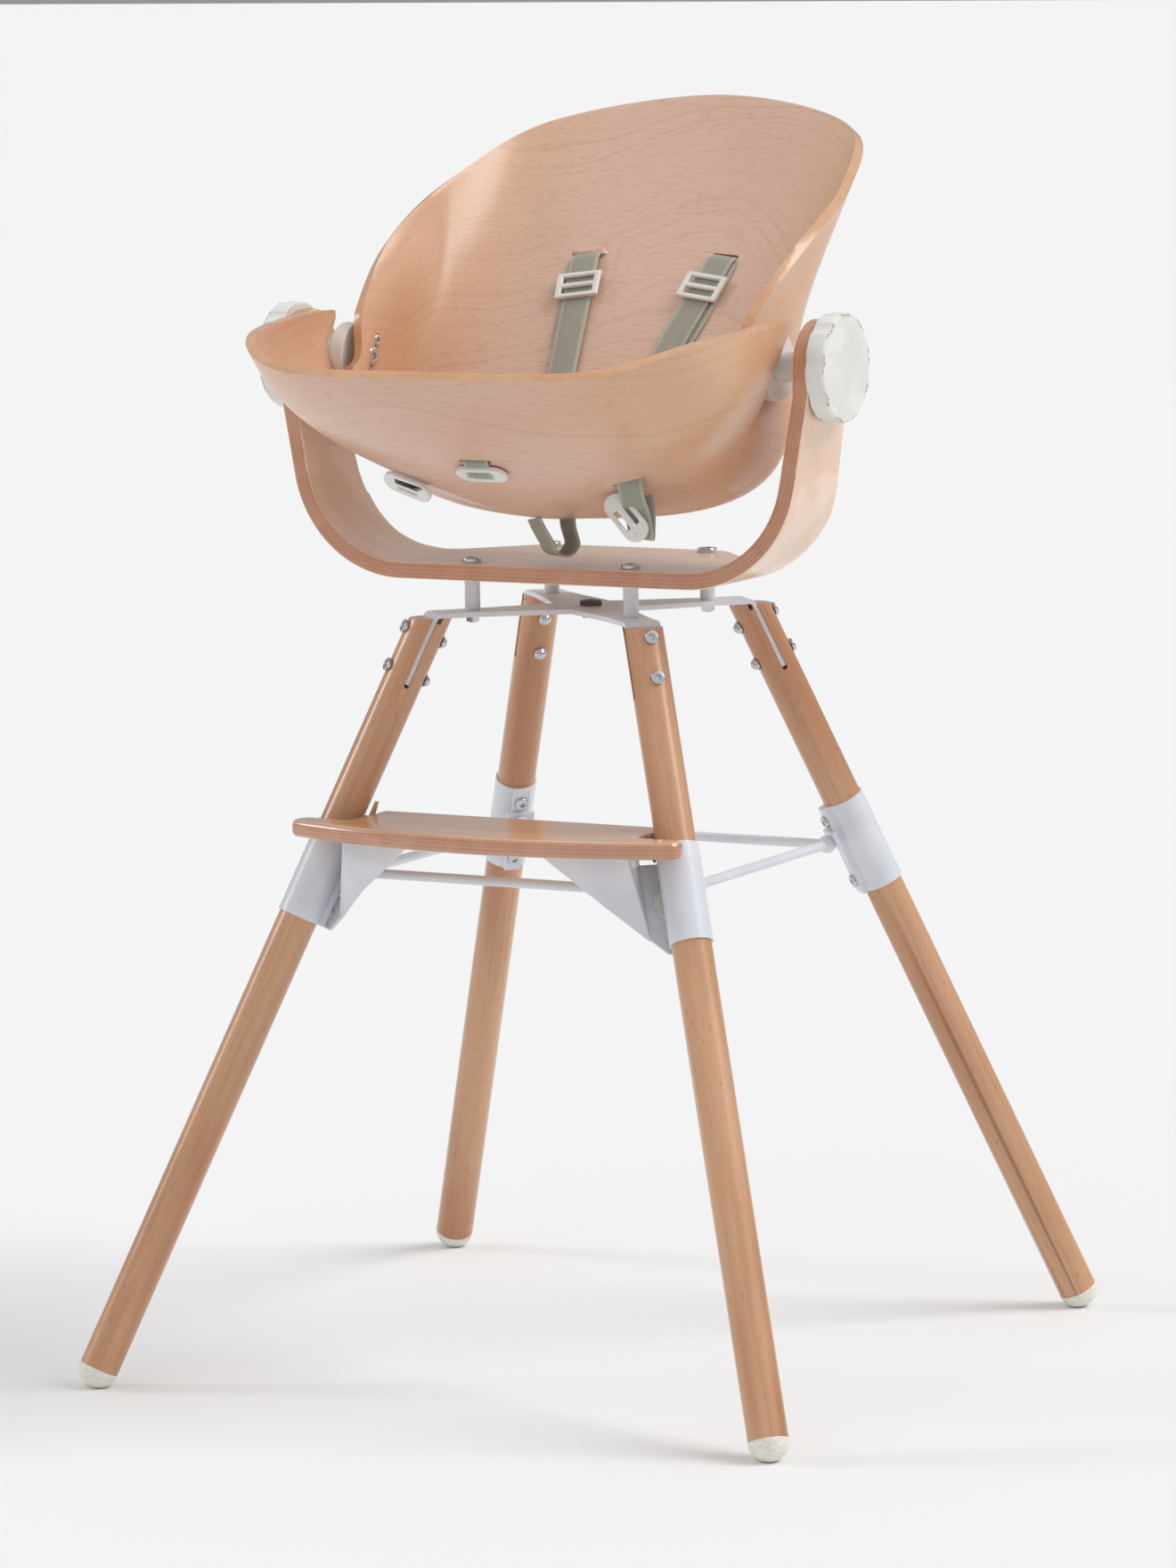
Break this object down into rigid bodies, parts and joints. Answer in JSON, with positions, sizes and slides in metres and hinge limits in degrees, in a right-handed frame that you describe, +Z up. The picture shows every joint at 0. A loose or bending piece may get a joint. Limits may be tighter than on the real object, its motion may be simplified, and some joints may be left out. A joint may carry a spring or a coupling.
{
  "type": "baby high chair",
  "caption": "Bucket-seat high chair: a moulded ply shell tilts between the arms of a bent ply bracket, on splayed turned legs with a footrest board.",
  "frame": {"origin": "on the floor, midway between the four feet", "axes": "+Z up, -Y towards the front of the chair, +X towards the viewer's right when the chair is seen from its front"},
  "size_m": [0.6328, 0.6328, 1.0211],
  "materials": {
    "beech": "satin varnish",
    "bent_ply": "satin varnish",
    "shell_veneer": "satin varnish",
    "white_steel": "satin powder coat",
    "white_plastic": "gloss",
    "foot_cap": "soft translucent",
    "chrome": "polished",
    "webbing": "woven"
  },
  "bodies": {
    "frame": {"lower_leg_front_left": "beech", "lower_leg_front_right": "beech", "lower_leg_rear_left": "beech", "lower_leg_rear_right": "beech", "upper_leg_front_left": "beech", "upper_leg_front_right": "beech", "upper_leg_rear_left": "beech", "upper_leg_rear_right": "beech", "foot_cap_front_left": "foot_cap", "foot_cap_front_right": "foot_cap", "foot_cap_rear_left": "foot_cap", "foot_cap_rear_right": "foot_cap", "leg_sleeve_front_left": "white_steel", "leg_sleeve_front_right": "white_steel", "leg_sleeve_rear_left": "white_steel", "leg_sleeve_rear_right": "white_steel", "leg_rod_front": "white_steel", "leg_rod_rear": "white_steel", "leg_rod_left": "white_steel", "leg_rod_right": "white_steel", "sleeve_bolts": "chrome", "rod_corner_tabs": "white_steel", "cross_plate": "white_steel", "center_bolt": "chrome", "leg_top_bolts": "chrome", "leg_top_nuts": "chrome", "standoffs": "white_steel", "bracket_bolts": "chrome", "bracket_nuts": "chrome", "u_bracket": "bent_ply", "footrest_board": "bent_ply", "footrest_bracket_left": "white_steel", "footrest_bracket_right": "white_steel", "footrest_screws": "chrome", "bracket_spacers": "white_steel"},
    "seat": {"seat_shell": "shell_veneer", "hub_left": "white_plastic", "hub_right": "white_plastic", "pivot_stud_left": "chrome", "pivot_stud_right": "chrome", "hub_bolts": "chrome", "hub_screws": "chrome", "shoulder_strap_left": "webbing", "shoulder_strap_right": "webbing", "crotch_strap_loop": "webbing", "side_strap_tail": "webbing", "toggle_left": "white_plastic", "toggle_center": "white_plastic", "toggle_right": "white_plastic"},
    "hand_knob_left": {"hand_knob_left": "white_plastic"},
    "hand_knob_right": {"hand_knob_right": "white_plastic"},
    "strap_slider_left": {"strap_slider_left": "white_plastic"},
    "strap_slider_right": {"strap_slider_right": "white_plastic"},
    "footrest_wheel_left": {"footrest_wheel_left": "white_plastic"},
    "footrest_wheel_right": {"footrest_wheel_right": "white_plastic"}
  },
  "joints": [
    {"name": "seat_tilt", "type": "hinge", "parent": "frame", "child": "seat", "pos_m": [0, -0.05, 0.818], "axis": [1, 0, 0], "range_deg": [-12, 18]},
    {"name": "hand_knob_left_turn", "type": "hinge", "parent": "seat", "child": "hand_knob_left", "pos_m": [-0.24, -0.05, 0.818], "axis": [-1, 0, 0], "continuous": true},
    {"name": "hand_knob_right_turn", "type": "hinge", "parent": "seat", "child": "hand_knob_right", "pos_m": [0.24, -0.05, 0.818], "axis": [1, 0, 0], "continuous": true},
    {"name": "strap_slider_left_slide", "type": "slide", "parent": "seat", "child": "strap_slider_left", "axis": [0.1652, -0.6739, -0.7201], "range_m": [-0.02, 0.09]},
    {"name": "strap_slider_right_slide", "type": "slide", "parent": "seat", "child": "strap_slider_right", "axis": [-0.1652, -0.6739, -0.7201], "range_m": [-0.02, 0.09]},
    {"name": "footrest_wheel_left_turn", "type": "hinge", "parent": "frame", "child": "footrest_wheel_left", "pos_m": [-0.14742, -0.1559, 0.40125], "axis": [0.6366, 0.6366, -0.4354], "continuous": true},
    {"name": "footrest_wheel_right_turn", "type": "hinge", "parent": "frame", "child": "footrest_wheel_right", "pos_m": [0.14742, -0.1559, 0.40125], "axis": [-0.6366, 0.6366, -0.4354], "continuous": true}
  ]
}
